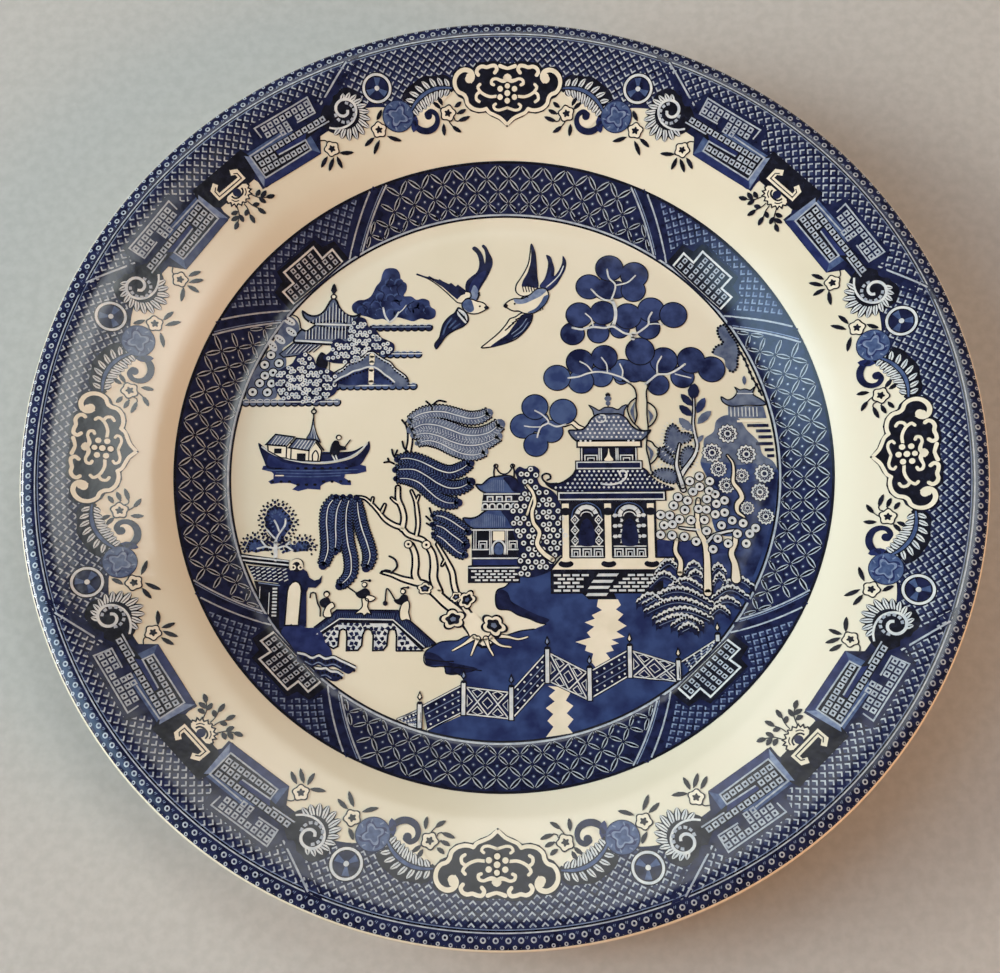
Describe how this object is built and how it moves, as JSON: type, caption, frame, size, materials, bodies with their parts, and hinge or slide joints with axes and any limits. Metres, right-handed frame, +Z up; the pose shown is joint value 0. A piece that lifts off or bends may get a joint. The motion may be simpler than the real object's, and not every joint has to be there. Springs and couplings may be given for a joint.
{
  "type": "china dinner plate",
  "caption": "Round dinner plate with a broad sloping rim, a flat well and a foot ring, printed in dark blue under a cream glaze with a landscape and patterned borders.",
  "frame": {"origin": "centre of the foot ring's tread, on the surface that the plate stands on", "axes": "+Z up through the plate's centre; +Y towards the top of the printed scene, +X to its right"},
  "size_m": [0.262, 0.262, 0.026],
  "materials": {
    "bisque": "fired white earthenware, matt, bare only on the foot ring's tread",
    "glaze": "clear glossy glaze, faintly cream",
    "rim_ink": "dark cobalt print under the glaze",
    "cavetto_ink": "dark cobalt print under the glaze",
    "centre_ink": "dark and mid cobalt print under the glaze, on the cream ground"
  },
  "bodies": {
    "root": {"bisque_body": "bisque", "glaze_coat": "glaze", "base_glaze": "glaze", "rim_border_print": "rim_ink", "cavetto_border_print": "cavetto_ink", "centre_scene_print": "centre_ink"}
  },
  "joints": []
}
